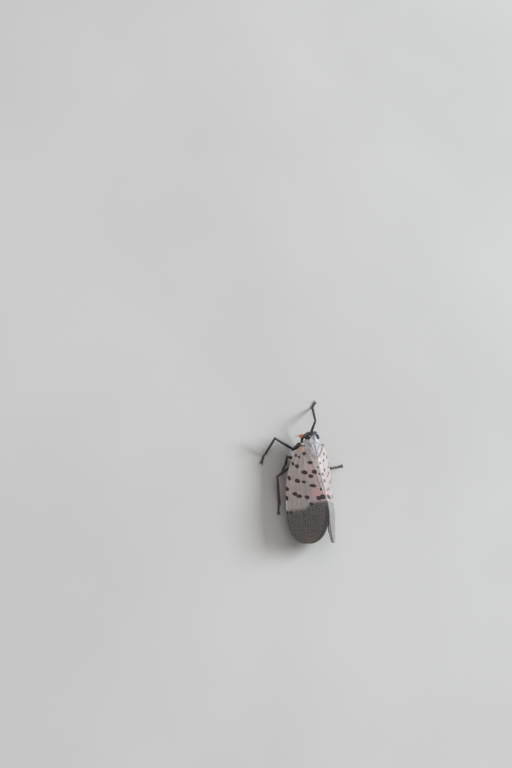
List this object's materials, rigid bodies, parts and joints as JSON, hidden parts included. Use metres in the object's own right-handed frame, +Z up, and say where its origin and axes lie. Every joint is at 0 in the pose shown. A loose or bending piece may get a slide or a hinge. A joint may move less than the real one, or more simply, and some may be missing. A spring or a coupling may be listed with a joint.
{
  "type": "spotted lanternfly",
  "caption": "Adult planthopper standing on its six feet, wings folded like a roof, one foreleg stretched forward.",
  "frame": {"origin": "on the floor, under the middle of the whole part's box", "axes": "+Y the way the insect faces, +X its right side, +Z up"},
  "size_m": [0.023, 0.0326, 0.0092],
  "materials": {
    "tegmen": "greyish leathery wing, black spots, netted dark tip",
    "hindwing": "red membrane, black and white tip",
    "plate": "matt pale grey",
    "head": "dark, low gloss",
    "eye": "glossy facets",
    "feeler": "orange red, low gloss",
    "thorax": "black, low gloss",
    "abdomen": "yellow with black bands",
    "leg": "black, low gloss"
  },
  "bodies": {
    "root": {"head": "head", "eye_l": "eye", "eye_r": "eye", "antenna_l": "feeler", "antenna_r": "feeler", "rostrum": "head", "pronotum": "plate", "mesonotum": "plate", "tegula_l": "plate", "tegula_r": "plate", "thorax": "thorax", "abdomen": "abdomen", "tegmen_l": "tegmen", "tegmen_r": "tegmen", "hindwing_l": "hindwing", "hindwing_r": "hindwing", "fore_l_coxa": "leg", "fore_l_femur": "leg", "fore_l_tibia": "leg", "fore_l_tarsus": "leg", "fore_r_coxa": "leg", "fore_r_femur": "leg", "fore_r_tibia": "leg", "fore_r_tarsus": "leg", "mid_l_coxa": "leg", "mid_l_femur": "leg", "mid_l_tibia": "leg", "mid_l_tarsus": "leg", "mid_r_coxa": "leg", "mid_r_femur": "leg", "mid_r_tibia": "leg", "mid_r_tarsus": "leg", "hind_l_coxa": "leg", "hind_l_femur": "leg", "hind_l_tibia": "leg", "hind_l_tarsus": "leg", "hind_r_coxa": "leg", "hind_r_femur": "leg", "hind_r_tibia": "leg", "hind_r_tarsus": "leg"}
  },
  "joints": []
}
